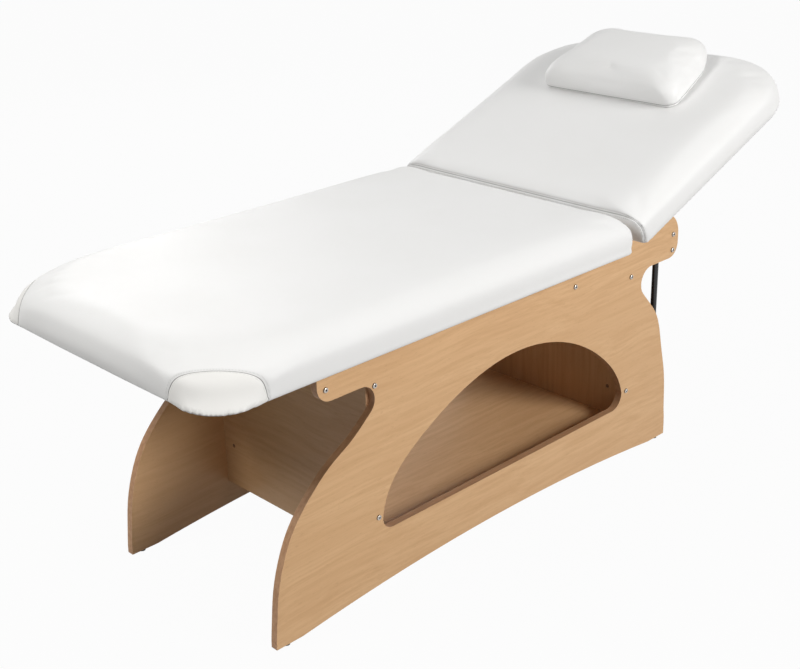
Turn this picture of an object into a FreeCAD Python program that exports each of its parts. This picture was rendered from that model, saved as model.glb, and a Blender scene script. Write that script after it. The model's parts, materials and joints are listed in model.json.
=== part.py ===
import FreeCAD
import Part
import math
import os
from FreeCAD import Vector

# Beauty bed with a fixed lying section, a tilting back and a loose pillow on a
# bolted panel base. X runs from the foot to the head, Y across, Z up.
# Lengths are in millimetres and angles in degrees.

SIZES = {
    # side panels
    "panel_reach": 335.0,
    "foot_sweep_run": 1355.0,
    "panel_top": 633.0,
    "board": 18.0,
    "base_width": 548.0,
    "foot_flat": 70.0,
    "arch_rise": 34.0,
    "tongue_start": 142.0,
    "tongue_reach": 349.0,
    "tongue_bottom": 512.0,
    "nose_low_radius": 36.0,
    "nose_top_radius": 62.0,
    "foot_notch_x": 260.0,
    "foot_notch_radius": 36.0,
    "head_notch_reach": 238.0,
    "head_notch_radius": 40.0,
    "cut_reach": 135.0,
    "cut_start": 309.0,
    "cut_bottom": 153.0,
    "cut_height": 287.0,
    # boards between the panels
    "foot_cross_x": 287.0,
    "head_cross_reach": 144.0,
    "cross_bottom": 86.0,
    "cross_top_gap": 3.0,
    "shelf_top": 116.0,
    "rail_height": 74.0,
    "rail_bottom": 524.0,
    "head_rail_drop": 8.0,
    "foot_rail_x": 164.0,
    "middle_rail_setback": 69.0,
    "head_rail_reach": 326.0,
    "cleat": 20.0,
    # panel bolts, barrel nuts and floor glides
    "bolt_diameter": 6.0,
    "bolt_head_diameter": 12.0,
    "bolt_head_height": 3.5,
    "bolt_reach": 42.0,
    "bolt_socket": 4.0,
    "bolt_socket_depth": 2.0,
    "bolt_clearance": 0.1,
    "bolt_edge": 16.0,
    "cross_bolt_low": 193.0,
    "cross_bolt_high": 505.0,
    "nut_diameter": 10.0,
    "nut_length": 14.0,
    "nut_from_end": 34.0,
    "glide_height": 4.0,
    "glide_diameter": 16.0,
    "glide_nail": 3.0,
    "glide_nail_length": 18.0,
    "glide_from_end": 32.0,
    # pads
    "bed_width": 800.0,
    "pad_height": 87.0,
    "main_foot_overhang": 203.0,
    "main_head_end": 1020.0,
    "joint_gap": 10.0,
    "back_length": 724.0,
    "shoulder_width": 102.0,
    "shoulder_height": 40.0,
    "end_shoulder": 64.0,
    "edge_roll": 22.0,
    "draw_in": 9.0,
    "foot_corner_low": 120.0,
    "foot_top_land": 68.0,
    "head_corner_low": 165.0,
    "head_corner_top": 185.0,
    "end_corner": 14.0,
    "base_board": 15.0,
    "base_inset": 26.0,
    "base_corner": 150.0,
    "base_clearance": 0.3,
    "back_seat_gap": 0.5,
    # hinges
    "hinge_inset": 106.0,
    "hinge_width": 70.0,
    "knuckle_diameter": 8.4,
    "hinge_pin": 5.0,
    "hinge_pin_clearance": 0.05,
    "knuckle_gap": 0.4,
    "middle_knuckle_width": 30.0,
    "leaf": 2.0,
    "leaf_pad_gap": 0.3,
    "leaf_foot": 52.0,
    "screw_diameter": 4.0,
    "screw_head_diameter": 8.0,
    "screw_head_height": 2.0,
    "screw_length": 12.0,
    "screw_clearance": 0.1,
    "screw_edge": 14.0,
    # struts under the back
    "strut_arm": 283.5,
    "strut_pin_drop": 12.0,
    "strut_foot_reach": 294.5,
    "strut_foot_z": 125.0,
    "strut_panel_gap": 11.0,
    "tube_diameter": 16.0,
    "tube_bore": 13.0,
    "tube_length": 366.0,
    "tube_floor": 8.0,
    "gland_length": 18.0,
    "rod_diameter": 8.0,
    "rod_clearance": 0.05,
    "rod_length": 418.0,
    "eye_diameter": 18.0,
    "eye_width": 6.0,
    "neck": 16.0,
    "pivot_pin": 8.0,
    "pivot_clearance": 0.05,
    "pin_head_diameter": 12.0,
    "pin_head": 2.0,
    "stud_flange_diameter": 26.0,
    "stud_flange": 3.0,
    "side_play": 1.0,
    "bracket": 4.0,
    "bracket_wall": 4.5,
    "bracket_flange": 24.0,
    "slot_clearance": 0.6,
    # fixings of the lying section
    "angle_leg": 40.0,
    "angle": 2.5,
    "angle_width": 30.0,
    "angle_foot_x": 430.0,
    "angle_head_setback": 160.0,
    # pillow
    "pillow_start": 414.0,
    "pillow_length": 262.0,
    "pillow_foot_width": 424.0,
    "pillow_head_width": 376.0,
    "pillow_height": 72.0,
    "pillow_foot_corner": 28.0,
    "pillow_head_corner": 118.0,
    "pillow_top_corner": 48.0,
    "pillow_roll": 34.0,
    "strip": 1.5,
    "strip_length": 120.0,
    "strip_width": 50.0,
    "strip_gap": 0.3,
    "strip_play": 0.1,
    # motion, in degrees
    "back_angle": 21.8,
    "back_top_angle": 50.0,
}

# Sizes that follow from others: the head end of the base goes with the main pad's head end.
FOLLOWING = {
    "panel_length": "main_head_end + panel_reach",
    "tongue_end": "main_head_end + tongue_reach",
    "head_notch_x": "main_head_end + head_notch_reach",
    "cut_length": "main_head_end + cut_reach - cut_start",
    "head_cross_x": "main_head_end + head_cross_reach",
    "middle_rail_x": "main_head_end - middle_rail_setback",
    "head_rail_x": "main_head_end + head_rail_reach",
    "angle_head_x": "main_head_end - angle_head_setback",
    "foot_corner_top": "bed_width / 2 - shoulder_width - foot_top_land",
}

# Outlines as shares of the panel length, or of the foot sweep's run, and the panel top height.
FOOT_SWEEP_SHARES = [
    (0.003, 0.087),
    (0.0096, 0.204),
    (0.0229, 0.310),
    (0.0450, 0.411),
    (0.0849, 0.512),
    (0.1269, 0.586),
    (0.1683, 0.638),
]
HEAD_SWEEP_SHARES = [
    (0.9557, 0.575),
    (0.9753, 0.430),
    (0.9911, 0.284),
    (0.9970, 0.118),
]
# Arch cut-out as shares of its own length and height.
CUT_ARCH_SHARES = [
    (0.0310, 0.362),
    (0.1470, 0.655),
    (0.2880, 0.864),
    (0.5090, 1.0),
    (0.7880, 0.798),
    (0.9050, 0.557),
    (0.9730, 0.327),
]
CUT_LEFT_SHARES = [(0.034, 0.0), (0.0100, 0.031), (0.0, 0.112)]
CUT_RIGHT_SHARES = [(1.0, 0.146), (0.9880, 0.042), (0.9470, 0.0)]
# Shoulder of a pad, in shares of a quarter turn, and the low side's draw-in.
SHOULDER_TURN_SHARES = [0.0, 0.25, 0.5, 0.75, 1.0]
LOW_SIDE_SHARES = [(0.0, 1.0), (0.22, 0.35), (0.55, 0.0)]
CORNER_POWER_SHARE = 0.6
ROD_END_SHARE = 0.8
STUD_TAIL_SHARE = 0.5
ANGLE_SCREW_SHARE = 0.67
PILLOW_LAYER_SHARES = [0.0, 0.12, 0.32, 0.55, 0.8, 0.94, 1.0]
PILLOW_INSET_SHARES = [0.18, 0.05, 0.0, 0.06, 0.42, 0.98, 2.1]

doc = FreeCAD.newDocument("beauty_bed")
sheet = doc.addObject("Spreadsheet::Sheet", "sizes")
for row, (alias, value) in enumerate(SIZES.items(), start=1):
    sheet.set("A%d" % row, alias)
    sheet.set("B%d" % row, str(value))
    sheet.setAlias("B%d" % row, alias)
for row, (alias, rule) in enumerate(FOLLOWING.items(), start=len(SIZES) + 1):
    sheet.set("A%d" % row, alias)
    sheet.set("B%d" % row, "=" + rule)
    sheet.setAlias("B%d" % row, alias)
doc.recompute()


def size(alias):
    return float(sheet.get(alias))


def cell(text):
    return "sizes." + text


# Places that follow from the sizes
inner_y = size("base_width") / 2 - size("board")
outer_y = size("base_width") / 2
pad_top = size("panel_top") + size("pad_height")
hinge_x = size("main_head_end") + size("joint_gap") / 2
hinge_z = pad_top - size("edge_roll")
back_start = size("main_head_end") + size("joint_gap")
back_end = back_start + size("back_length")
back_low = size("panel_top") + size("back_seat_gap")
half_bed = size("bed_width") / 2
tilt_angle = size("back_angle")
low_turn = math.radians(-tilt_angle)
high_turn = math.radians(size("back_top_angle") - tilt_angle)


def roll_inset(height, total, radius):
    rise = height - (total - radius)
    if rise <= 0:
        return 0.0
    return radius - math.sqrt(max(radius * radius - rise * rise, 0.0))


def soft_corner(height, total, soft_end):
    """Corner radius of the soft end, which grows with height. soft_end is foot or head."""
    low = size(soft_end + "_corner_low")
    high = size(soft_end + "_corner_top")
    return low + (high - low) * (height / total) ** CORNER_POWER_SHARE


def pad_layers(total, soft_end):
    """Height, side inset, soft end inset, square end inset and soft corner of each layer."""
    layers = []
    straight = total - size("shoulder_height")
    for height_share, inset_share in LOW_SIDE_SHARES:
        height = straight * height_share
        inset = size("draw_in") * inset_share
        corner = soft_corner(height, total, soft_end) - inset
        layers.append((height, inset, inset, inset, corner))
    for turn_share in SHOULDER_TURN_SHARES:
        turn = math.radians(90.0 * turn_share)
        height = straight + size("shoulder_height") * math.sin(turn)
        side = size("shoulder_width") * (1 - math.cos(turn))
        end = size("end_shoulder") * (1 - math.cos(turn))
        square = roll_inset(height, total, size("edge_roll"))
        corner = soft_corner(height, total, soft_end)
        layers.append((height, side, end, square, corner))
    return layers


def turned(x, z, turn):
    """A point of the flat back, turned up about the hinge."""
    dx = x - hinge_x
    dz = z - hinge_z
    return (
        hinge_x + dx * math.cos(turn) - dz * math.sin(turn),
        hinge_z + dx * math.sin(turn) + dz * math.cos(turn),
    )


back_height = pad_top - back_low
reach = []
for height, side, end, square, corner in pad_layers(back_height, "head"):
    reach.append(turned(back_end - end, back_low + height, math.radians(tilt_angle))[0])
mid_x = (max(reach) - size("main_foot_overhang")) / 2
shift_row = len(SIZES) + len(FOLLOWING) + 1
sheet.set("A%d" % shift_row, "mid_x")
sheet.set("B%d" % shift_row, repr(mid_x))
sheet.setAlias("B%d" % shift_row, "mid_x")
doc.recompute()

parts = []


def keep(obj, label):
    obj.Label = label
    parts.append(obj)
    return obj


def feature(label, shape, placement=None):
    obj = doc.addObject("Part::Feature", label)
    obj.Shape = shape
    if placement is not None:
        obj.Placement = placement
    return keep(obj, label)


def box(name, length, width, height, x, y, z):
    obj = doc.addObject("Part::Box", name)
    obj.setExpression("Length", length)
    obj.setExpression("Width", width)
    obj.setExpression("Height", height)
    obj.setExpression("Placement.Base.x", x)
    obj.setExpression("Placement.Base.y", y)
    obj.setExpression("Placement.Base.z", z)
    return obj


def cut(label, base, tool):
    obj = doc.addObject("Part::Cut", label)
    obj.Base = base
    obj.Tool = tool
    return keep(obj, label)


def tool(name, shape):
    obj = doc.addObject("Part::Feature", name)
    obj.Shape = shape
    return obj


def at(x, y, z):
    return Vector(x - mid_x, y, z)


def rod_y(x, y, z, radius, length):
    return Part.makeCylinder(radius, length, at(x, y, z), Vector(0, 1, 0))


ALONG_Y = Vector(0, 1, 0)
hinge_point = at(hinge_x, 0, hinge_z)
back_turn = FreeCAD.Placement(
    Vector(0, 0, 0), FreeCAD.Rotation(Vector(0, -1, 0), tilt_angle), hinge_point
)

# Bolt places, shared by the panels, the boards and the bolts
cross_bolts = [size("cross_bolt_low"), size("cross_bolt_high")]
RAIL_DROPS = {"foot_rail": 0.0, "middle_rail": 0.0, "head_rail": size("head_rail_drop")}
rail_bolts = {}
for name, drop in RAIL_DROPS.items():
    low = size("rail_bottom") - drop
    rail_bolts[name] = [
        low + size("bolt_edge"),
        low + size("rail_height") - size("bolt_edge"),
    ]
foot_cross_mid = size("foot_cross_x") + size("board") / 2
head_cross_mid = size("head_cross_x") + size("board") / 2
bolt_places = []
for x in (foot_cross_mid, head_cross_mid):
    for z in cross_bolts:
        bolt_places.append((x, z))
for name, heights in rail_bolts.items():
    for z in heights:
        bolt_places.append((size(name + "_x"), z))
glide_places = [size("glide_from_end"), size("panel_length") - size("glide_from_end")]

# Side panels
panel_foot = size("glide_height")
top = size("panel_top")
nose_low = size("nose_low_radius")
nose_top = size("nose_top_radius")
tongue_z = size("tongue_bottom")
diagonal = math.sqrt(0.5)


def p2(x, z):
    return at(x, 0, z)


def on_circle(x, z, radius, angle):
    turn = math.radians(angle)
    return p2(x + radius * math.cos(turn), z + radius * math.sin(turn))


def spline(points, start=None, finish=None):
    curve = Part.BSplineCurve()
    if start is None:
        curve.interpolate(points)
    else:
        curve.interpolate(Points=points, InitialTangent=start, FinalTangent=finish)
    return curve.toShape()


def panel_points(shares, run):
    return [p2(run * x, size("panel_top") * z) for x, z in shares]


FOOT_JOIN_ANGLE = -50.0
HEAD_JOIN_ANGLE = 220.0


def panel_outline():
    edges = []
    length = size("panel_length")
    # foot edge, sweeping up into the notch under the tongue
    notch_r = size("foot_notch_radius")
    notch_z = tongue_z - notch_r
    notch_x = size("foot_notch_x")
    join = on_circle(notch_x, notch_z, notch_r, FOOT_JOIN_ANGLE)
    join_turn = math.radians(FOOT_JOIN_ANGLE)
    join_dir = Vector(-math.sin(join_turn), 0, math.cos(join_turn))
    sweep = [p2(0, panel_foot)] + panel_points(FOOT_SWEEP_SHARES, size("foot_sweep_run")) + [join]
    edges.append(spline(sweep, Vector(0, 0, 1), join_dir))
    notch_top = p2(notch_x, tongue_z)
    notch_mid = on_circle(notch_x, notch_z, notch_r, (FOOT_JOIN_ANGLE + 90.0) / 2)
    edges.append(Part.Arc(join, notch_mid, notch_top).toShape())
    # tongue with its rounded nose
    start = size("tongue_start")
    nose_a = p2(start + nose_low, tongue_z)
    nose_b = p2(start, tongue_z + nose_low)
    nose_m = p2(start + nose_low * (1 - diagonal), tongue_z + nose_low * (1 - diagonal))
    nose_c = p2(start, top - nose_top)
    nose_d = p2(start + nose_top, top)
    nose_n = p2(start + nose_top * (1 - diagonal), top - nose_top * (1 - diagonal))
    edges.append(Part.LineSegment(notch_top, nose_a).toShape())
    edges.append(Part.Arc(nose_a, nose_m, nose_b).toShape())
    edges.append(Part.LineSegment(nose_b, nose_c).toShape())
    edges.append(Part.Arc(nose_c, nose_n, nose_d).toShape())
    # top edge and the ear at the head
    end = size("tongue_end")
    ear_d = p2(end - nose_top, top)
    ear_n = p2(end - nose_top * (1 - diagonal), top - nose_top * (1 - diagonal))
    ear_c = p2(end, top - nose_top)
    ear_b = p2(end, tongue_z + nose_low)
    ear_m = p2(end - nose_low * (1 - diagonal), tongue_z + nose_low * (1 - diagonal))
    ear_a = p2(end - nose_low, tongue_z)
    edges.append(Part.LineSegment(nose_d, ear_d).toShape())
    edges.append(Part.Arc(ear_d, ear_n, ear_c).toShape())
    edges.append(Part.LineSegment(ear_c, ear_b).toShape())
    edges.append(Part.Arc(ear_b, ear_m, ear_a).toShape())
    # notch under the ear and the head edge
    head_r = size("head_notch_radius")
    head_z = tongue_z - head_r
    head_x = size("head_notch_x")
    head_top = p2(head_x, tongue_z)
    head_mid = on_circle(head_x, head_z, head_r, (90.0 + HEAD_JOIN_ANGLE) / 2)
    head_join = on_circle(head_x, head_z, head_r, HEAD_JOIN_ANGLE)
    head_turn = math.radians(HEAD_JOIN_ANGLE)
    head_dir = Vector(-math.sin(head_turn), 0, math.cos(head_turn))
    edges.append(Part.LineSegment(ear_a, head_top).toShape())
    edges.append(Part.Arc(head_top, head_mid, head_join).toShape())
    sweep = [head_join] + panel_points(HEAD_SWEEP_SHARES, length) + [p2(length, panel_foot)]
    edges.append(spline(sweep, head_dir, Vector(0, 0, -1)))
    # flat feet and the shallow arch between them
    flat = size("foot_flat")
    arch_a = p2(length - flat, panel_foot)
    arch_m = p2(length / 2, panel_foot + size("arch_rise"))
    arch_b = p2(flat, panel_foot)
    edges.append(Part.LineSegment(p2(length, panel_foot), arch_a).toShape())
    edges.append(Part.Arc(arch_a, arch_m, arch_b).toShape())
    edges.append(Part.LineSegment(arch_b, p2(0, panel_foot)).toShape())
    return Part.Wire(Part.__sortEdges__(edges))


def cut_outline():
    def q(share):
        return p2(
            size("cut_start") + size("cut_length") * share[0],
            size("cut_bottom") + size("cut_height") * share[1],
        )

    left = [q(s) for s in CUT_LEFT_SHARES]
    right = [q(s) for s in CUT_RIGHT_SHARES]
    arch = [left[-1]] + [q(s) for s in CUT_ARCH_SHARES] + [right[0]]
    edges = [
        Part.Arc(left[0], left[1], left[2]).toShape(),
        spline(arch),
        Part.Arc(right[0], right[1], right[2]).toShape(),
        Part.LineSegment(right[2], left[0]).toShape(),
    ]
    return Part.Wire(Part.__sortEdges__(edges))


panel_face = Part.Face(panel_outline()).cut(Part.Face(cut_outline()))
panel_plate = panel_face.extrude(Vector(0, size("board"), 0))
bolt_hole = size("bolt_diameter") / 2 + size("bolt_clearance")
panel_drills = []
for x, z in bolt_places:
    panel_drills.append(rod_y(x, 0, z, bolt_hole, size("board")))
nail_hole = size("glide_nail") / 2 + size("screw_clearance")
for x in glide_places:
    base = at(x, size("board") / 2, panel_foot)
    depth = size("glide_nail_length") + size("screw_clearance")
    panel_drills.append(Part.makeCylinder(nail_hole, depth, base, Vector(0, 0, 1)))
panel_plate = panel_plate.cut(panel_drills)
panel_solid = panel_plate.Solids[0]
for label, y in (("side_panel_near", -outer_y), ("side_panel_far", inner_y)):
    feature(label, panel_solid.copy(), FreeCAD.Placement(Vector(0, y, 0), FreeCAD.Rotation()))


# Boards between the panels, drilled at both ends for bolts and barrel nuts
def end_drills(x, heights):
    shapes = []
    reach = size("bolt_reach") + size("bolt_clearance")
    nut_r = size("nut_diameter") / 2 + size("bolt_clearance")
    for z in heights:
        for side in (-1, 1):
            y = -inner_y if side < 0 else inner_y - reach
            shapes.append(rod_y(x, y, z, bolt_hole, reach))
            nut_y = side * (inner_y - size("nut_from_end"))
            base = at(x - size("board") / 2, nut_y, z)
            shapes.append(Part.makeCylinder(nut_r, size("board"), base, Vector(1, 0, 0)))
    return Part.makeCompound(shapes)


span = cell("base_width") + " - 2 * " + cell("board")
span_y = "-(" + cell("base_width") + " / 2 - " + cell("board") + ")"
foot_cross = box(
    "foot_cross_blank",
    cell("board"),
    span,
    cell("panel_top") + " - " + cell("cross_bottom"),
    cell("foot_cross_x") + " - " + cell("mid_x"),
    span_y,
    cell("cross_bottom"),
)
head_cross = box(
    "head_cross_blank",
    cell("board"),
    span,
    cell("panel_top") + " - " + cell("cross_bottom") + " - " + cell("cross_top_gap"),
    cell("head_cross_x") + " - " + cell("mid_x"),
    span_y,
    cell("cross_bottom"),
)
foot_cross_drill = tool("foot_cross_drill", end_drills(foot_cross_mid, cross_bolts))
head_cross_drill = tool("head_cross_drill", end_drills(head_cross_mid, cross_bolts))
cut("foot_cross_panel", foot_cross, foot_cross_drill)
cut("head_cross_panel", head_cross, head_cross_drill)
for name in RAIL_DROPS:
    low_text = cell("rail_bottom")
    if name == "head_rail":
        low_text = low_text + " - " + cell("head_rail_drop")
    blank = box(
        name + "_blank",
        cell("board"),
        span,
        cell("rail_height"),
        cell(name + "_x") + " - " + cell("board") + " / 2 - " + cell("mid_x"),
        span_y,
        low_text,
    )
    drill = tool(name + "_drill", end_drills(size(name + "_x"), rail_bolts[name]))
    cut(name, blank, drill)

shelf_bottom = size("shelf_top") - size("board")
shelf_start = size("foot_cross_x") + size("board")
shelf = box(
    "shelf",
    cell("head_cross_x") + " - " + cell("foot_cross_x") + " - " + cell("board"),
    span,
    cell("board"),
    cell("foot_cross_x") + " + " + cell("board") + " - " + cell("mid_x"),
    span_y,
    cell("shelf_top") + " - " + cell("board"),
)
keep(shelf, "shelf")


def wood_screw(base, direction, length):
    shank = Part.makeCylinder(size("screw_diameter") / 2, length, base, direction)
    head_base = base - direction * size("screw_head_height")
    head = Part.makeCylinder(
        size("screw_head_diameter") / 2, size("screw_head_height"), head_base, direction
    )
    return shank.fuse(head).removeSplitter()


def screw_hole(base, direction, length):
    radius = size("screw_diameter") / 2 + size("screw_clearance")
    return Part.makeCylinder(radius, length + size("screw_clearance"), base, direction)


# Shelf cleats, one along each panel, with screws into the panel
CLEAT_SCREW_SHARES = [0.12, 0.5, 0.88]
shelf_run = size("head_cross_x") - shelf_start
cleat_screws = []
panel_screw_cuts = {"side_panel_near": [], "side_panel_far": []}
for label, side in (("near", -1), ("far", 1)):
    y = -inner_y if side < 0 else inner_y - size("cleat")
    cleat = Part.makeBox(
        shelf_run, size("cleat"), size("cleat"), at(shelf_start, y, shelf_bottom - size("cleat"))
    )
    for share in CLEAT_SCREW_SHARES:
        x = shelf_start + shelf_run * share
        z = shelf_bottom - size("cleat") / 2
        base = at(x, side * (inner_y - size("cleat")), z)
        direction = Vector(0, side, 0)
        length = size("cleat") + size("screw_length")
        cleat_screws.append(wood_screw(base, direction, length))
        hole = screw_hole(base, direction, length)
        cleat = cleat.cut(hole)
        panel_screw_cuts["side_panel_" + label].append(hole)
    feature("shelf_cleat_" + label, cleat.Solids[0])
feature("cleat_screws", Part.makeCompound(cleat_screws))

# Panel bolts with a hex socket, barrel nuts and floor glides
bolts = []
nuts = []
for x, z in bolt_places:
    for side in (-1, 1):
        outward = Vector(0, side, 0)
        inward = Vector(0, -side, 0)
        head_face = at(x, side * outer_y, z)
        head = Part.makeCylinder(
            size("bolt_head_diameter") / 2, size("bolt_head_height"), head_face, outward
        )
        rim = head.Edges[0].Length / (2 * math.pi)
        far_edges = [
            e
            for e in head.Edges
            if e.Closed and abs(e.CenterOfMass.y) > outer_y + size("bolt_head_height") / 2
        ]
        head = head.makeFillet(min(rim, size("bolt_head_height")) / 2, far_edges)
        socket_base = head_face + outward * (size("bolt_head_height") - size("bolt_socket_depth"))
        corners = []
        for corner in range(7):
            turn = math.radians(60.0 * corner)
            arm = Vector(math.cos(turn), 0, math.sin(turn)) * (size("bolt_socket") / math.sqrt(3.0))
            corners.append(socket_base + arm)
        socket = Part.Face(Part.makePolygon(corners)).extrude(outward * size("bolt_head_height"))
        reach = size("board") + size("bolt_reach")
        shank = Part.makeCylinder(size("bolt_diameter") / 2, reach, head_face, inward)
        bolts.append(head.cut(socket).fuse(shank).removeSplitter().Solids[0])
        nut_y = side * (inner_y - size("nut_from_end"))
        nut = Part.makeCylinder(
            size("nut_diameter") / 2,
            size("nut_length"),
            at(x - size("nut_length") / 2, nut_y, z),
            Vector(1, 0, 0),
        )
        thread = rod_y(x, nut_y - size("nut_diameter"), z, bolt_hole, 2 * size("nut_diameter"))
        nuts.append(nut.cut(thread).Solids[0])
feature("panel_bolts", Part.makeCompound(bolts))
feature("barrel_nuts", Part.makeCompound(nuts))

glides = []
for x in glide_places:
    for side in (-1, 1):
        y = side * (outer_y - size("board") / 2)
        disc = Part.makeCylinder(size("glide_diameter") / 2, size("glide_height"), at(x, y, 0))
        nail_base = at(x, y, size("glide_height"))
        nail = Part.makeCylinder(size("glide_nail") / 2, size("glide_nail_length"), nail_base)
        glides.append(disc.fuse(nail).removeSplitter().Solids[0])
feature("floor_glides", Part.makeCompound(glides))


# Pads: layers with a drawn-in low side, a soft shoulder and a rolled hinge edge
def slab_wire(x0, x1, half, z, r0, r1):
    """Rounded outline, with corner radius r0 at the low X end and r1 at the high X end."""
    k0 = r0 * (1 - diagonal)
    k1 = r1 * (1 - diagonal)
    points = [
        at(x0 + r0, -half, z),
        at(x1 - r1, -half, z),
        at(x1 - k1, -half + k1, z),
        at(x1, -half + r1, z),
        at(x1, half - r1, z),
        at(x1 - k1, half - k1, z),
        at(x1 - r1, half, z),
        at(x0 + r0, half, z),
        at(x0 + k0, half - k0, z),
        at(x0, half - r0, z),
        at(x0, -half + r0, z),
        at(x0 + k0, -half + k0, z),
    ]
    edges = []
    for i in (0, 3, 6, 9):
        edges.append(Part.LineSegment(points[i], points[i + 1]).toShape())
        edges.append(
            Part.Arc(points[i + 1], points[i + 2], points[(i + 3) % len(points)]).toShape()
        )
    return Part.Wire(edges)


main_start = -size("main_foot_overhang")
main_end = size("main_head_end")
crisp = size("end_corner")
main_wires = []
for height, side, end, square, corner in pad_layers(size("pad_height"), "foot"):
    half = half_bed - side
    z = top + height
    main_wires.append(slab_wire(main_start + end, main_end - square, half, z, corner, crisp))
main_pad = Part.makeLoft(main_wires, True, True)
back_wires = []
for height, side, end, square, corner in pad_layers(back_height, "head"):
    half = half_bed - side
    z = back_low + height
    back_wires.append(slab_wire(back_start + square, back_end - end, half, z, crisp, corner))
back_pad = Part.makeLoft(back_wires, True, True)

# Base boards let into the undersides of the pads
base_half = half_bed - size("base_inset")
gap = size("base_clearance")


def base_slab(x0, x1, z, r0, r1, grow):
    """Board with rounded soft end corners; grown all round but below, it makes the pocket."""
    outline = slab_wire(x0 - grow, x1 + grow, base_half + grow, z, r0 + grow, r1 + grow)
    return Part.Face(outline).extrude(Vector(0, 0, size("base_board") + grow))


main_base_start = main_start + size("base_inset")
main_base_end = main_end - size("base_inset")
back_base_start = back_start + size("base_inset")
back_base_end = back_end - size("base_inset")
soft = size("base_corner")
main_pad = main_pad.cut(base_slab(main_base_start, main_base_end, top, soft, crisp, gap))
back_pad = back_pad.cut(base_slab(back_base_start, back_base_end, back_low, crisp, soft, gap))
main_base = base_slab(main_base_start, main_base_end, top, soft, crisp, 0)
back_base = base_slab(back_base_start, back_base_end, back_low, crisp, soft, 0)

# Hinges that stand in the joint between the pads, with the pivot at the edge roll
knuckle = size("knuckle_diameter") / 2
pin_r = size("hinge_pin") / 2
leaf_out = size("joint_gap") / 2 - size("leaf_pad_gap")
UP = Vector(0, 0, 1)
DOWN = Vector(0, 0, -1)


def leaf_shape(y, side, low):
    """One hinge leaf: knuckle, upright and foot under the board. side is -1 on the lying section."""
    width = size("hinge_width")
    thick = size("leaf")
    near_x = hinge_x + leaf_out - thick
    upright_x = hinge_x - leaf_out if side < 0 else near_x
    foot_x = hinge_x - leaf_out - size("leaf_foot") if side < 0 else near_x
    upright_base = at(upright_x, y - width / 2, low - thick)
    foot_base = at(foot_x, y - width / 2, low - thick)
    upright = Part.makeBox(thick, width, hinge_z - low + thick, upright_base)
    foot = Part.makeBox(size("leaf_foot") + thick, width, thick, foot_base)
    barrel = rod_y(hinge_x, y - width / 2, hinge_z, knuckle, width)
    middle = size("middle_knuckle_width")
    hole = pin_r if side < 0 else pin_r + size("hinge_pin_clearance")
    bore = rod_y(hinge_x, y - width / 2, hinge_z, hole, width)
    room = knuckle + size("knuckle_gap")
    blank = upright.fuse([foot, barrel]).cut(bore)
    if side < 0:
        for y0 in (y - width / 2, y + middle / 2):
            blank = blank.cut(rod_y(hinge_x, y0, hinge_z, room, (width - middle) / 2))
    else:
        play = middle + 2 * size("knuckle_gap")
        blank = blank.cut(rod_y(hinge_x, y - play / 2, hinge_z, room, play))
    return blank.removeSplitter()


def leaf_screw_places(y, side):
    shift = size("leaf_foot") - size("screw_edge")
    x = hinge_x + side * (leaf_out + shift)
    return [(x, y - size("hinge_width") / 4), (x, y + size("hinge_width") / 4)]


main_screws = []
back_screws = []
hinge_y = inner_y - size("hinge_inset")
for label, y in (("near", -hinge_y), ("far", hinge_y)):
    for side, low in ((-1, top), (1, back_low)):
        leaf = leaf_shape(y, side, low)
        for x, sy in leaf_screw_places(y, side):
            base = at(x, sy, low - size("leaf"))
            leaf = leaf.cut(screw_hole(base, UP, size("leaf")))
            screw = wood_screw(base, UP, size("screw_length"))
            hole = screw_hole(base, UP, size("screw_length"))
            if side < 0:
                main_screws.append(screw)
                main_base = main_base.cut(hole)
            else:
                back_screws.append(screw)
                back_base = back_base.cut(hole)
        if side < 0:
            feature("lying_hinge_leaf_" + label, leaf.Solids[0])
        else:
            feature("back_hinge_leaf_" + label, leaf.Solids[0], back_turn)
    pin = doc.addObject("Part::Cylinder", "hinge_pin_" + label)
    pin.setExpression("Radius", cell("hinge_pin") + " / 2")
    pin.setExpression("Height", cell("hinge_width"))
    pin_base = at(hinge_x, y + size("hinge_width") / 2, hinge_z)
    pin.Placement = FreeCAD.Placement(pin_base, FreeCAD.Rotation(UP, ALONG_Y * -1))
    keep(pin, "hinge_pin_" + label)

# Struts: the foot eye turns on a stud in the side panel, the top eye's pin rides in a slot
pin_flat = (hinge_x + size("strut_arm"), back_low - size("strut_pin_drop"))
strut_foot = (hinge_x + size("strut_foot_reach"), size("strut_foot_z"))
rest_turn = math.radians(tilt_angle)
pin_rest = turned(pin_flat[0], pin_flat[1], rest_turn)
strut_dx = pin_rest[0] - strut_foot[0]
strut_dz = pin_rest[1] - strut_foot[1]
strut_rest = math.hypot(strut_dx, strut_dz)
lean = math.atan2(strut_dx, strut_dz)
# Rates at rest, per radian of the back
arm_x = pin_rest[0] - hinge_x
arm_z = pin_rest[1] - hinge_z
extend_rate = (-arm_z * strut_dx + arm_x * strut_dz) / strut_rest
lean_rate = (arm_z * strut_dz + arm_x * strut_dx) / strut_rest ** 2


def pin_path(steps=40):
    """Pin centre in the flat back's frame over the whole travel."""
    path = []
    for i in range(steps + 1):
        turn = low_turn + (high_turn - low_turn) * i / steps
        length = strut_rest + extend_rate * turn
        angle = lean - lean_rate * turn
        x = strut_foot[0] + length * math.sin(angle)
        z = strut_foot[1] + length * math.cos(angle)
        path.append(turned(x, z, -(rest_turn + turn)))
    return path


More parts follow.
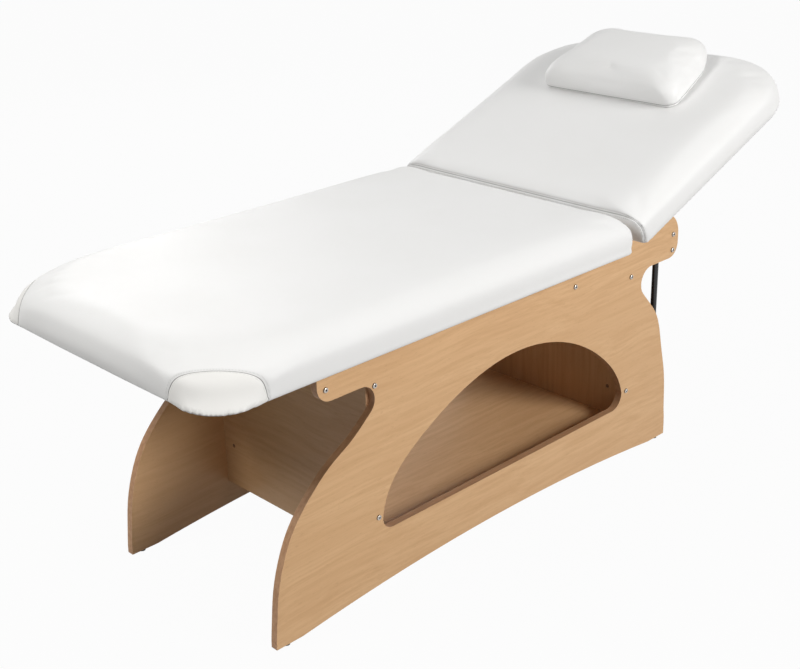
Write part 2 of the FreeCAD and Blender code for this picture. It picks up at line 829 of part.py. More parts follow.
path = pin_path()
arm_angle = math.atan2(pin_flat[1] - hinge_z, pin_flat[0] - hinge_x)
cos_a = math.cos(arm_angle)
sin_a = math.sin(arm_angle)
along = []
across = []
for x, z in path:
    off_x = x - pin_flat[0]
    off_z = z - pin_flat[1]
    along.append(off_x * cos_a + off_z * sin_a)
    across.append(off_z * cos_a - off_x * sin_a)
pivot_r = size("pivot_pin") / 2
slot_low = min(along) - pivot_r - size("slot_clearance")
slot_high = max(along) + pivot_r + size("slot_clearance")
slot_under = min(across) - pivot_r - size("slot_clearance")
slot_over = max(across) + pivot_r + size("slot_clearance")

strut_turn = FreeCAD.Rotation(Vector(0, 1, 0), math.degrees(lean))
foot_point = at(strut_foot[0], 0, strut_foot[1])
eye_r = size("eye_diameter") / 2
tube_r = size("tube_diameter") / 2
eye_hole = pivot_r + size("pivot_clearance")


def eye(center, hole):
    half = size("eye_width") / 2
    disc = Part.makeCylinder(eye_r, size("eye_width"), center - ALONG_Y * half, ALONG_Y)
    bore = Part.makeCylinder(hole, size("eye_width"), center - ALONG_Y * half, ALONG_Y)
    return disc, bore


def strut_tube(y):
    """Upright along Z from its foot eye at the origin."""
    center = Vector(0, y, 0)
    disc, bore = eye(center, eye_hole)
    width = size("eye_width")
    stem_base = Vector(-width / 2, y - width / 2, 0)
    stem = Part.makeBox(width, width, size("neck"), stem_base)
    tube = Part.makeCylinder(tube_r, size("tube_length"), Vector(0, y, size("neck")))
    inside = size("tube_length") - size("tube_floor") - size("gland_length")
    chamber_base = Vector(0, y, size("neck") + size("tube_floor"))
    chamber = Part.makeCylinder(size("tube_bore") / 2, inside, chamber_base)
    gland_base = Vector(0, y, size("neck") + size("tube_length") - size("gland_length"))
    gland_r = size("rod_diameter") / 2 + size("rod_clearance")
    gland = Part.makeCylinder(gland_r, size("gland_length"), gland_base)
    solid = tube.cut([chamber, gland]).fuse([disc, stem]).cut(bore)
    return solid.removeSplitter().Solids[0]


def strut_rod(y):
    """Upright along Z, with its eye at the rest length."""
    center = Vector(0, y, strut_rest)
    disc, bore = eye(center, pivot_r)
    rod_low = strut_rest - size("rod_length")
    shaft = size("rod_length") - eye_r * ROD_END_SHARE
    rod = Part.makeCylinder(size("rod_diameter") / 2, shaft, Vector(0, y, rod_low))
    return rod.fuse(disc).cut(bore).removeSplitter().Solids[0]


rod_end = strut_rest - size("rod_length") + extend_rate * low_turn
print("rod tip above tube floor", rod_end - size("neck") - size("tube_floor"))
rod_top_end = strut_rest - size("rod_length") + extend_rate * high_turn
rod_left = size("neck") + size("tube_length") - rod_top_end
print("rod left in tube at the top", rod_left)

strut_place = FreeCAD.Placement(foot_point, strut_turn)
strut_y = inner_y - size("strut_panel_gap")
half_eye = size("eye_width") / 2
bracket_screws = []
for label, side in (("near", -1), ("far", 1)):
    y = side * strut_y
    feature("strut_tube_" + label, strut_tube(y), strut_place)
    feature("strut_rod_" + label, strut_rod(y), strut_place)
    # stud with a flange on the panel
    wall = at(strut_foot[0], side * inner_y, strut_foot[1])
    inward = Vector(0, -side, 0)
    outward = Vector(0, side, 0)
    stud_length = size("strut_panel_gap") + half_eye + size("side_play")
    tail = size("board") * STUD_TAIL_SHARE
    stud = Part.makeCylinder(pivot_r, stud_length + tail, wall + outward * tail, inward)
    flange = Part.makeCylinder(size("stud_flange_diameter") / 2, size("stud_flange"), wall, inward)
    cap_base = wall + inward * stud_length
    cap = Part.makeCylinder(size("pin_head_diameter") / 2, size("pin_head"), cap_base, inward)
    feature("strut_stud_" + label, stud.fuse([flange, cap]).removeSplitter().Solids[0])
    play = size("screw_clearance")
    hole = Part.makeCylinder(pivot_r + play, tail + play, wall, outward)
    panel_screw_cuts["side_panel_" + label].append(hole)
    # cross pin through the top eye and the bracket's slot
    plate_gap = half_eye + size("side_play")
    pin_length = 2 * half_eye + 2 * size("side_play") + size("bracket")
    pin_start = Vector(0, y + side * half_eye, strut_rest)
    pin = Part.makeCylinder(pivot_r, pin_length, pin_start, inward)
    head_base = pin_start + inward * pin_length
    head = Part.makeCylinder(size("pin_head_diameter") / 2, size("pin_head"), head_base, inward)
    rivet = Part.makeCylinder(size("pin_head_diameter") / 2, size("pin_head"), pin_start, outward)
    feature("strut_pin_" + label, pin.fuse([head, rivet]).removeSplitter().Solids[0], strut_place)
    # slotted bracket under the back, drawn flat and turned up with the back
    plate_y = y - side * (plate_gap + size("bracket"))
    y0 = min(plate_y, plate_y + side * size("bracket"))

    def slot_point(u, w):
        return at(pin_flat[0] + u * cos_a - w * sin_a, y0, pin_flat[1] + u * sin_a + w * cos_a)

    wall_size = size("bracket_wall")
    plate_x0 = pin_flat[0] + slot_low - wall_size
    plate_x1 = pin_flat[0] + slot_high + wall_size
    corners = [
        at(plate_x0, y0, back_low),
        slot_point(slot_low - wall_size, slot_under - wall_size),
        slot_point(slot_high + wall_size, slot_under - wall_size),
        at(plate_x1, y0, back_low),
    ]
    plate_face = Part.Face(Part.makePolygon(corners + corners[:1]))
    plate = plate_face.extrude(Vector(0, size("bracket"), 0))
    slot_corners = [
        slot_point(slot_low, slot_under),
        slot_point(slot_high, slot_under),
        slot_point(slot_high, slot_over),
        slot_point(slot_low, slot_over),
    ]
    slot_face = Part.Face(Part.makePolygon(slot_corners + slot_corners[:1]))
    slot = slot_face.extrude(Vector(0, size("bracket"), 0))
    flange_y = y0 if side < 0 else y0 + size("bracket") - size("bracket_flange")
    flange_base = at(plate_x0, flange_y, back_low - size("leaf"))
    flange = Part.makeBox(plate_x1 - plate_x0, size("bracket_flange"), size("leaf"), flange_base)
    bracket = plate.fuse(flange).cut(slot)
    screw_y = flange_y + size("bracket_flange") / 2
    if side < 0:
        screw_y = screw_y + size("bracket") / 2
    else:
        screw_y = screw_y - size("bracket") / 2
    for x in (plate_x0 + size("screw_edge") / 2, plate_x1 - size("screw_edge") / 2):
        base = at(x, screw_y, back_low - size("leaf"))
        bracket = bracket.cut(screw_hole(base, UP, size("leaf")))
        bracket_screws.append(wood_screw(base, UP, size("screw_length")))
        back_base = back_base.cut(screw_hole(base, UP, size("screw_length")))
    feature("strut_bracket_" + label, bracket.removeSplitter().Solids[0], back_turn)
feature("back_screws", Part.makeCompound(back_screws + bracket_screws), back_turn)

# Angle brackets between the side panels and the lying section's board
angles = []
for x in (size("angle_foot_x"), size("angle_head_x")):
    for label, side in (("near", -1), ("far", 1)):
        thick = size("angle")
        leg = size("angle_leg")
        width = size("angle_width")
        wall_y = -inner_y if side < 0 else inner_y - thick
        flat_y = -inner_y if side < 0 else inner_y - leg
        upright = Part.makeBox(width, thick, leg, at(x - width / 2, wall_y, top - leg))
        flat = Part.makeBox(width, leg, thick, at(x - width / 2, flat_y, top - thick))
        angle = upright.fuse(flat).removeSplitter()
        up_base = at(x, side * (inner_y - leg * ANGLE_SCREW_SHARE), top - thick)
        side_base = at(x, side * (inner_y - thick), top - leg * ANGLE_SCREW_SHARE)
        outward = Vector(0, side, 0)
        angle = angle.cut([screw_hole(up_base, UP, thick), screw_hole(side_base, outward, thick)])
        angles.append(angle.Solids[0])
        main_screws.append(wood_screw(up_base, UP, size("screw_length")))
        main_screws.append(wood_screw(side_base, outward, size("screw_length")))
        main_base = main_base.cut(screw_hole(up_base, UP, size("screw_length")))
        side_hole = screw_hole(side_base, outward, size("screw_length"))
        panel_screw_cuts["side_panel_" + label].append(side_hole)
feature("board_angles", Part.makeCompound(angles))
feature("board_screws", Part.makeCompound(main_screws))
feature("lying_base_board", main_base.Solids[0])
feature("lying_pad", main_pad.Solids[0])
feature("back_base_board", back_base.Solids[0], back_turn)

# Pillow on the back, held by a hook strip on a loop strip
strip_z = pad_top
strip_x = hinge_x + size("pillow_start") + size("pillow_length") / 2 - size("strip_length") / 2
hook_z = strip_z + size("strip") + size("strip_gap")


def tape(label, z):
    """Flat tape drawn on the flat back and turned up with it."""
    obj = doc.addObject("Part::Box", label)
    obj.setExpression("Length", cell("strip_length"))
    obj.setExpression("Width", cell("strip_width"))
    obj.setExpression("Height", cell("strip"))
    spot = FreeCAD.Placement(at(strip_x, -size("strip_width") / 2, z), FreeCAD.Rotation())
    obj.Placement = back_turn.multiply(spot)
    return keep(obj, label)


feature("back_pad", back_pad.Solids[0], back_turn)
tape("pillow_loop_strip", strip_z)
tape("pillow_hook_strip", hook_z)


def pillow_wire(x0, x1, half0, half1, z, r0, r1):
    """Rounded outline, crisp at the foot edge and round at the head."""
    corners = [(x0, -half0), (x1, -half1), (x1, half1), (x0, half0)]
    radii = [r0, r1, r1, r0]
    count = len(corners)
    arcs = []
    for i in range(count):
        here = corners[i]
        radius = radii[i]
        before = corners[i - 1]
        after = corners[(i + 1) % count]
        a = Vector(before[0] - here[0], before[1] - here[1], 0)
        b = Vector(after[0] - here[0], after[1] - here[1], 0)
        a.normalize()
        b.normalize()
        half_angle = a.getAngle(b) / 2
        reach = radius / math.tan(half_angle)
        mid = Vector(a.x + b.x, a.y + b.y, 0)
        mid.normalize()
        depth = radius / math.sin(half_angle) - radius
        spot = Vector(here[0], here[1], 0)
        arcs.append((spot + a * reach, spot + mid * depth, spot + b * reach))
    edges = []
    for i in range(count):
        points = [at(v.x, v.y, z) for v in arcs[i]]
        edges.append(Part.Arc(points[0], points[1], points[2]).toShape())
        following = arcs[(i + 1) % count][0]
        edges.append(Part.LineSegment(points[2], at(following.x, following.y, z)).toShape())
    return Part.Wire(edges)


pillow_low = hook_z
pillow_x0 = hinge_x + size("pillow_start")
pillow_x1 = pillow_x0 + size("pillow_length")
pillow_wires = []
for layer_share, inset_share in zip(PILLOW_LAYER_SHARES, PILLOW_INSET_SHARES):
    inset = size("pillow_roll") * inset_share
    z = pillow_low + size("pillow_height") * layer_share
    foot_half = size("pillow_foot_width") / 2 - inset
    head_half = size("pillow_head_width") / 2 - inset
    foot_round = size("pillow_foot_corner")
    foot_round = foot_round + (size("pillow_top_corner") - foot_round) * layer_share
    head_round = size("pillow_head_corner")
    head_round = head_round + (size("pillow_top_corner") - head_round) * layer_share
    x0 = pillow_x0 + inset
    x1 = pillow_x1 - inset
    pillow_wires.append(pillow_wire(x0, x1, foot_half, head_half, z, foot_round, head_round))
pillow = Part.makeLoft(pillow_wires, True, True)
play = size("strip_play")
pocket_base = at(strip_x - play, -size("strip_width") / 2 - play, hook_z)
pocket = Part.makeBox(
    size("strip_length") + 2 * play, size("strip_width") + 2 * play, size("strip"), pocket_base
)
pillow = pillow.cut(pocket)
feature("pillow", pillow.Solids[0], back_turn)

# Screw holes on the inner faces of the panels
for obj in parts:
    if obj.Label in panel_screw_cuts:
        offset = FreeCAD.Placement(obj.Placement)
        drilled = obj.Shape.copy()
        for hole in panel_screw_cuts[obj.Label]:
            drilled = drilled.cut(hole)
        solid = drilled.Solids[0]
        solid.Placement = FreeCAD.Placement()
        obj.Shape = solid

doc.recompute()
for obj in doc.Objects:
    if "Invalid" in obj.State or "Error" in obj.State:
        raise RuntimeError("failed object " + obj.Label)
os.makedirs("parts", exist_ok=True)
for obj in parts:
    shape = obj.Shape
    if shape.isNull() or not shape.isValid():
        raise RuntimeError("bad shape " + obj.Label)
    shape.exportStep(os.path.join("parts", obj.Label + ".step"))

print("hinge", hinge_point.x, hinge_point.z, "strut foot", foot_point.x, foot_point.z)
print("lean", math.degrees(lean), "lean rate", lean_rate, "extend rate", extend_rate)
print("slot along", slot_low, slot_high, "across", slot_under, slot_over)
print("parts", len(parts), "mid_x", mid_x)
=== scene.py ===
"""Looks of the beauty bed: upholstery, beech boards, fittings, studio and camera."""

import json
import math

import bmesh
import bpy
from mathutils import Matrix, Vector


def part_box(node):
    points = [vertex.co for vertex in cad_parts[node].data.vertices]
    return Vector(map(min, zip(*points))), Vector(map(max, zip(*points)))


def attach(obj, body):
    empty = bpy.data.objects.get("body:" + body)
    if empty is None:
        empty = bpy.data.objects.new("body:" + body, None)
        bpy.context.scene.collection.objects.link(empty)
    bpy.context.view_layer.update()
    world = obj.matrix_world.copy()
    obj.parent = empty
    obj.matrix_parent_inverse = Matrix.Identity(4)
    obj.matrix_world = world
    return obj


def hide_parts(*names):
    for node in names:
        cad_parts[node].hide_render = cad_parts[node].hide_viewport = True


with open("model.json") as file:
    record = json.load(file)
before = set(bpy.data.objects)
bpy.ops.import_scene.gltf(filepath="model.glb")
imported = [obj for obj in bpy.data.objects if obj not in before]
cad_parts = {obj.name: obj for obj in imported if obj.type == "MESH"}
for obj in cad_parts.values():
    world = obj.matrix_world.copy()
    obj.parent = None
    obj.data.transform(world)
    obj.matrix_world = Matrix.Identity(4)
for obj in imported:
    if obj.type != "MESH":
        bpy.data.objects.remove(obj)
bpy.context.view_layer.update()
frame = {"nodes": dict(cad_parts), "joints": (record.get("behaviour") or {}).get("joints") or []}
scene = bpy.context.scene
scene.view_settings.view_transform = "Standard"

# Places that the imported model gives: the hinge between the two sections and the back's rest angle.
BACK_JOINT = next(j for j in frame["joints"] if j["name"] == "back_tilt")
HINGE = Vector(BACK_JOINT["pos_m"])
BACK_ANGLE = math.radians(-BACK_JOINT["range_deg"][0])

# Finishes: the pitch of the plies and of the stitches, in metres, and how much painted light makes
# two boards lighter than the same beech elsewhere.
PLY_PITCH = 0.0042
STITCH_PITCH = 0.0055
SIDE_PAINTED_LIGHT = 1.07
SHELF_PAINTED_LIGHT = 1.16

# Cushions: the net's face size, how far a cover starts inside its solid, how far it may swell and
# the height in which it is held to its board, in metres, then the cloth's pressure and its frames.
PAD_VOXEL = 0.006
PILLOW_VOXEL = 0.005
SHRINK = 0.002
SWELL_CAP = 0.004
PAD_HELD = 0.008
PILLOW_HELD = 0.005
FOAM_PRESSURE = 4.0
CLOTH_FRAMES = 20

# Foot corners: the run over which the filling grows, and how high and how much it sags.
PUFF_RUN = 0.045
SAG_HEIGHT = 0.06
SAG_SHARE = 0.6

# Pillow: the crown on its top, the height over which the crown grows, and the spread at its foot.
PILLOW_CROWN = 0.009
CROWN_HEIGHT = 0.05
PILLOW_SPREAD = 0.045

# Studio: how far the floor shows white to the camera.
FLOOR_GLOW = 0.965


# Camera

def set_camera():
    """Stands the camera where the photograph was taken from."""
    turn, drop, roll = 0.8089, 0.3933, -0.0256
    flat = math.cos(drop)
    ahead = Vector((math.cos(turn) * flat, math.sin(turn) * flat, -math.sin(drop)))
    level = Vector((math.sin(turn), -math.cos(turn), 0))
    above = level.cross(ahead)
    right = level * math.cos(roll) + above * math.sin(roll)
    up = above * math.cos(roll) - level * math.sin(roll)
    data = bpy.data.cameras.new("camera")
    data.sensor_width = 36
    data.lens = 58.67
    data.shift_x = 0.0032
    data.shift_y = -0.0008
    data.clip_end = 60
    camera = bpy.data.objects.new("camera", data)
    place = Matrix((right, up, -ahead)).transposed().to_4x4()
    place.translation = (-2.1085, -2.0724, 1.6303)
    camera.matrix_world = place
    scene.collection.objects.link(camera)
    scene.camera = camera


set_camera()


# Finishes

class Value:
    """A socket of a finish that takes Python's operators."""

    def __init__(self, finish, socket):
        self.finish = finish
        self.socket = socket

    def maths(self, operation, first, second):
        settings = {"operation": operation}
        return self.finish.add("ShaderNodeMath", "Value", settings, {0: first, 1: second})

    def __add__(self, other):
        return self.maths("ADD", self, other)

    def __radd__(self, other):
        return self.maths("ADD", other, self)

    def __sub__(self, other):
        return self.maths("SUBTRACT", self, other)

    def __rsub__(self, other):
        return self.maths("SUBTRACT", other, self)

    def __mul__(self, other):
        return self.maths("MULTIPLY", self, other)

    def __truediv__(self, other):
        return self.maths("DIVIDE", self, other)


class Finish:
    """One material on a single Principled surface."""

    def __init__(self, name, **constants):
        self.material = bpy.data.materials.new(name)
        self.material.use_nodes = True
        self.nodes = self.material.node_tree.nodes
        self.links = self.material.node_tree.links
        self.surface = self.nodes["Principled BSDF"]
        for socket, value in constants.items():
            self.surface.inputs[socket.replace("_", " ")].default_value = value

    def feed(self, socket, value):
        if isinstance(value, Value):
            self.links.new(value.socket, socket)
        else:
            socket.default_value = value

    def add(self, kind, out, settings, inputs):
        node = self.nodes.new(kind)
        for name, value in settings.items():
            setattr(node, name, value)
        for name, value in inputs.items():
            self.feed(node.inputs[name], value)
        return Value(self, node.outputs[out])

    def place(self, scale=(1, 1, 1), turn=(0, 0, 0)):
        point = self.add("ShaderNodeTexCoord", "Object", {}, {})
        inputs = {"Vector": point, "Scale": scale, "Rotation": turn}
        return self.add("ShaderNodeMapping", "Vector", {}, inputs)

    def axis(self, name):
        point = self.add("ShaderNodeTexCoord", "Object", {}, {})
        return self.add("ShaderNodeSeparateXYZ", name, {}, {"Vector": point})

    def along(self, direction):
        """How far a point lies along a direction from the origin."""
        point = self.add("ShaderNodeTexCoord", "Object", {}, {})
        settings = {"operation": "DOT_PRODUCT"}
        return self.add("ShaderNodeVectorMath", "Value", settings, {0: point, 1: direction})

    def size_of(self, value):
        return self.add("ShaderNodeMath", "Value", {"operation": "ABSOLUTE"}, {0: value})

    def most(self, values):
        result = values[0]
        for value in values[1:]:
            result = result.maths("MAXIMUM", result, value)
        return result

    def noise(self, vector, scale, detail=2.0, roughness=0.5, distortion=0.0):
        inputs = {"Vector": vector, "Scale": scale, "Detail": detail}
        inputs.update(Roughness=roughness, Distortion=distortion)
        return self.add("ShaderNodeTexNoise", "Fac", {}, inputs)

    def cells(self, vector, scale, feature="F1"):
        inputs = {"Vector": vector, "Scale": scale}
        return self.add("ShaderNodeTexVoronoi", "Distance", {"feature": feature}, inputs)

    def rise(self, value, low, high):
        settings = {"interpolation_type": "SMOOTHSTEP"}
        inputs = {"Value": value, "From Min": low, "From Max": high}
        return self.add("ShaderNodeMapRange", "Result", settings, inputs)

    def wave(self, value, pitch):
        """A sine along value that repeats once in each pitch."""
        turn = value * (2 * math.pi / pitch)
        return self.add("ShaderNodeMath", "Value", {"operation": "SINE"}, {0: turn})

    def tint(self, share, first, second):
        """first where share is 0, second where it is 1."""
        return self.add("ShaderNodeMix", 2, {"data_type": "RGBA"}, {0: share, 6: first, 7: second})

    def bump(self, height, distance, strength=1.0, under=None):
        inputs = {"Height": height, "Distance": distance, "Strength": strength}
        if under:
            inputs["Normal"] = under
        return self.add("ShaderNodeBump", "Normal", {}, inputs)

    def done(self, **varying):
        for socket, value in varying.items():
            self.feed(self.surface.inputs[socket.replace("_", " ")], value)
        return self.material


def shade(red, green, blue, tone=1.0):
    """A colour made lighter or darker by tone."""
    return (red * tone, green * tone, blue * tone, 1)


def beech_board(name, node, thick, grain, tone=1.0):
    """Beech veneer on both faces of a board, with banding round its edges and a painted highlight
    along its arrises.

    thick and grain are the axes of the board's thickness and of its grain.
    """
    low, high = (corner["xyz".index(thick)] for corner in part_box(node))
    middle = (low + high) / 2
    half = (high - low) / 2
    finish = Finish(name, Specular_IOR_Level=0.4)
    stretch = [1.0, 1.0, 1.0]
    stretch["xyz".index(grain)] = 0.055
    wander = finish.noise(finish.place(), 2.4, 2.0) * 0.05
    inputs = {"X": wander, "Y": wander, "Z": wander}
    shift = finish.add("ShaderNodeCombineXYZ", "Vector", {}, inputs)
    inputs = {0: finish.place(stretch), 1: shift}
    line = finish.add("ShaderNodeVectorMath", "Vector", {"operation": "ADD"}, inputs)
    streak = finish.noise(line, 95, 5.0, 0.62)
    broad = finish.noise(line, 16, 3.0, 0.5)
    pore = finish.noise(line, 620, 2.0, 0.5)
    short = [s ** 0.55 for s in stretch]
    fleck = finish.rise(finish.noise(finish.place(short), 340, 1.0), 0.62, 0.74)
    pale = shade(0.65, 0.413, 0.217, tone)
    face = finish.tint(finish.rise(streak, 0.3, 0.72), pale, shade(0.555, 0.332, 0.164, tone))
    face = finish.tint(finish.rise(broad, 0.35, 0.7) * 0.55, face, shade(0.585, 0.355, 0.178, tone))
    face = finish.tint(fleck * 0.2, face, shade(0.36, 0.19, 0.085, tone))
    depth = finish.axis(thick.upper()) - middle
    inside = finish.size_of(depth) / half
    band = 1 - finish.rise(inside, 0.965, 0.992)
    # Painted highlight: a lighter strip beside each arris stands in for the light that a rounded
    # edge catches.
    painted_arris_highlight = finish.rise(inside, 0.86, 0.97) * (1 - finish.rise(inside, 0.985, 0.998))
    lipping = shade(0.5, 0.285, 0.155, tone)
    banding = finish.tint(finish.rise(streak, 0.3, 0.75), lipping, shade(0.38, 0.2, 0.1, tone))
    colour = finish.tint(band, face, banding)
    colour = finish.tint(painted_arris_highlight * 0.35, colour, shade(0.68, 0.46, 0.28, tone))
    rough = 0.36 + streak * 0.16 + band * 0.06
    relief = finish.bump(pore * 0.6 + streak * 0.4, 0.0004, 0.35)
    return finish.done(Base_Color=colour, Roughness=rough, Normal=relief)


def solid_batten(name, grain):
    """Planed solid beech for the rails and cleats."""
    finish = Finish(name, Specular_IOR_Level=0.35)
    stretch = [1.0, 1.0, 1.0]
    stretch["xyz".index(grain)] = 0.05
    streak = finish.noise(finish.place(stretch), 120, 5.0, 0.6)
    ring = finish.noise(finish.place(stretch), 28, 2.0, 0.5, 0.6)
    colour = finish.tint(finish.rise(streak, 0.3, 0.7), (0.62, 0.41, 0.22, 1), (0.5, 0.3, 0.145, 1))
    colour = finish.tint(finish.rise(ring, 0.45, 0.62) * 0.4, colour, (0.46, 0.26, 0.12, 1))
    relief = finish.bump(streak, 0.0005, 0.4)
    return finish.done(Base_Color=colour, Roughness=0.5 + streak * 0.2, Normal=relief)


def birch_plywood(name, turn=0.0):
    """Plywood with its plies showing at the edge. turn is the board's turn about the hinge."""
    finish = Finish(name, Specular_IOR_Level=0.3)
    line = finish.place((0.06, 1.0, 1.0))
    streak = finish.noise(line, 90, 4.0, 0.6)
    point = finish.place((1, 1, 1), (0, turn, 0))
    height = finish.add("ShaderNodeSeparateXYZ", "Z", {}, {"Vector": point})
    ply = finish.wave(height, PLY_PITCH)
    grain = finish.rise(streak, 0.25, 0.75)
    colour = finish.tint(grain, (0.62, 0.46, 0.29, 1), (0.5, 0.34, 0.19, 1))
    colour = finish.tint(finish.rise(ply, 0.1, 0.7) * 0.35, colour, (0.36, 0.22, 0.115, 1))
    relief = finish.bump(streak, 0.0006, 0.4)
    return finish.done(Base_Color=colour, Roughness=0.62 + streak * 0.15, Normal=relief)


class Seam:
    """A sewn seam where a plane meets a cover.

    facing is the plane's normal and offset its distance from the origin, run a direction
    along the seam, panel how much of the other tone the cover has beyond the plane, stitch
    how far its stitches show and groove_shade how dark the painted shade in its groove is.
    """

    def __init__(self, facing, offset, run, panel=0.0, stitch=0.0, groove_shade=0.9):
        self.facing = Vector(facing).normalized()
        self.offset = offset
        self.run = Vector(run)
        self.panel = panel
        self.stitch = stitch
        self.groove_shade = groove_shade


def leatherette(name, seams, tone=(0.81, 0.81, 0.805), second=(0.80, 0.785, 0.745)):
    """White coated fabric: fine pebble grain, faint soft dents, grey thread in the stitches, and
    painted shade in the seams' grooves and beside them.
    """
    finish = Finish(name, Specular_IOR_Level=0.42, Sheen_Weight=0.03)
    groove_shades, fold_dips_and_shades, panels, threads = [], [], [], []
    for seam in seams:
        side = finish.along(seam.facing) - seam.offset
        away = finish.size_of(side)
        # Painted shade: each seam's groove gets a near black line in place of its shadow.
        groove_shades.append((1 - finish.rise(away, 0.0002, 0.0008)) * seam.groove_shade)
        # Painted shade and a real dip: this mask sinks the cover beside each seam in the bump, and
        # darkens it there as painted shade.
        fold_dips_and_shades.append(1 - finish.rise(away, 0.0, 0.0045))
        panels.append(finish.rise(side, 0.0, 0.001) * seam.panel)
        step = finish.wave(finish.along(seam.run), STITCH_PITCH)
        row = 1 - finish.rise(finish.size_of(away - 0.0026), 0.0003, 0.0007)
        threads.append(row * finish.rise(step, -0.35, 0.1) * seam.stitch)
    line, fold_dip_and_shade, panel, thread = (finish.most(kind) for kind in (groove_shades, fold_dips_and_shades, panels, threads))
    pebble = finish.cells(finish.place(), 900, "SMOOTH_F1")
    fine = finish.noise(finish.place(), 2300, 2.0, 0.6)
    cloud = finish.noise(finish.place(), 5.5, 3.0, 0.55)
    dent = finish.noise(finish.place(), 11, 2.0, 0.45)
    rub = finish.rise(finish.noise(finish.place(), 38, 4.0, 0.6), 0.52, 0.78)
    pucker = finish.noise(finish.place(), 150, 2.0, 0.5)
    worn = (tone[0] * 0.965, tone[1] * 0.965, tone[2] * 0.955, 1)
    colour = finish.tint(finish.rise(cloud, 0.35, 0.75) * 0.35, (*tone, 1), worn)
    colour = finish.tint(panel, colour, (*second, 1))
    colour = finish.tint(finish.rise(pebble, 0.25, 0.6) * 0.05, colour, (*second, 1))
    # Painted shade: the dip beside each seam is darkened.
    colour = finish.tint(fold_dip_and_shade * 0.1, colour, (0.52, 0.51, 0.49, 1))
    colour = finish.tint(thread * 0.55, colour, (0.4, 0.39, 0.375, 1))
    # Painted shade: the near black line along each seam's groove.
    colour = finish.tint(line, colour, (0.085, 0.08, 0.078, 1))
    rough = 0.42 + cloud * 0.1 + pebble * 0.08 + rub * 0.07 + line * 0.3
    grain = finish.bump(1 - pebble + fine * 0.4, 0.00022, 0.35)
    sewn = finish.bump(thread * 0.4 - fold_dip_and_shade * (0.75 + pucker * 0.5), 0.0011, 0.8, grain)
    relief = finish.bump(dent, 0.004, 0.22, sewn)
    return finish.done(Base_Color=colour, Roughness=rough, Normal=relief)


def socket_chrome(name, face):
    """Bolt heads: plated metal on the crown, with painted shade in the socket and a painted contact
    shadow where the head meets the board.

    face is how far the panels' outer faces lie from the middle.
    """
    finish = Finish(name, Metallic=1.0)
    crown = finish.rise(finish.size_of(finish.axis("Y")), face + 0.0014, face + 0.0021)
    scuff = finish.rise(finish.noise(finish.place(), 900, 4.0, 0.6), 0.45, 0.75)
    plate = finish.tint(scuff * 0.4, (0.5, 0.47, 0.44, 1), (0.33, 0.3, 0.27, 1))
    # Painted shade: the socket and the ring where the head meets the board get a near black colour
    # in place of their shadow.
    colour = finish.tint(crown, (0.05, 0.042, 0.036, 1), plate)
    relief = finish.bump(scuff, 0.0001, 0.3)
    return finish.done(Base_Color=colour, Roughness=0.16 + scuff * 0.2, Normal=relief)


def bright_metal(name, colour, rough, brush="z", scratch=0.12):
    """Plated or zinced metal with fine brushing and small scuffs."""
    finish = Finish(name, Metallic=1.0)
    stretch = [1.0, 1.0, 1.0]
    stretch["xyz".index(brush)] = 0.04
    line = finish.noise(finish.place(stretch), 1500, 3.0, 0.6)
    scuff = finish.rise(finish.noise(finish.place(), 260, 4.0, 0.6), 0.5, 0.75)
    dull = (colour[0] * 0.72, colour[1] * 0.72, colour[2] * 0.7, 1)
    plate = finish.tint(scuff * 0.35, (*colour, 1), dull)
    rough = rough + line * scratch + scuff * 0.14
    relief = finish.bump(line, 0.00008, 0.3)
    return finish.done(Base_Color=plate, Roughness=rough, Normal=relief)


def dark_paint(name, colour, rough):
    """Stoved paint or moulded plastic with a light orange peel and rubbed spots."""
    finish = Finish(name, Specular_IOR_Level=0.5)
    peel = finish.noise(finish.place(), 700, 2.0, 0.5)
    rub = finish.rise(finish.noise(finish.place(), 90, 4.0, 0.65), 0.55, 0.8)
    rubbed = (*(part * 2.2 + 0.02 for part in colour), 1)
    paint = finish.tint(rub * 0.5, (*colour, 1), rubbed)
    relief = finish.bump(peel, 0.00015, 0.35)
    return finish.done(Base_Color=paint, Roughness=rough + rub * 0.2, Normal=relief)


def napped_tape(name):
    """Hook and loop tape: a tangle of short loops, with painted shade between them."""
    finish = Finish(name, Specular_IOR_Level=0.2, Sheen_Weight=0.3)
    loops = finish.cells(finish.place(), 1400)
    tangle = finish.noise(finish.place(), 900, 3.0, 0.7)
    painted_shade_between_loops = finish.rise(loops, 0.15, 0.6)
    # Painted shade: the gaps between the loops are painted darker in place of their shadow.
    nap = finish.tint(painted_shade_between_loops, (0.62, 0.62, 0.61, 1), (0.36, 0.36, 0.355, 1))
    relief = finish.bump(loops + tangle, 0.0012, 0.8)
    return finish.done(Base_Color=nap, Roughness=0.85 + tangle * 0.1, Normal=relief)


def dress(node, material):
    """Gives a CAD node its finish."""
    for place in frame["nodes"][node].material_slots:
        place.material = material


# Boards and fittings

# Painted light: the side panels and the shelf are the same beech as the cross panels, painted
# lighter in place of lamp light.
for side in ("near", "far"):
    panel = f"side_panel_{side}"
    dress(panel, beech_board(f"beech_side_{side}", panel, "y", "x", SIDE_PAINTED_LIGHT))
dress("foot_cross_panel", beech_board("beech_foot_cross", "foot_cross_panel", "x", "y"))
dress("head_cross_panel", beech_board("beech_head_cross", "head_cross_panel", "x", "z"))
dress("shelf", beech_board("beech_shelf", "shelf", "z", "x", SHELF_PAINTED_LIGHT))
batten_across = solid_batten("batten_across", "y")
batten_along = solid_batten("batten_along", "x")
for node in ("foot_rail", "middle_rail", "head_rail"):
    dress(node, batten_across)
for node in ("shelf_cleat_near", "shelf_cleat_far"):
    dress(node, batten_along)
dress("lying_base_board", birch_plywood("plywood_lying"))
dress("back_base_board", birch_plywood("plywood_back", BACK_ANGLE))
PANEL_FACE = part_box("side_panel_far")[1].y
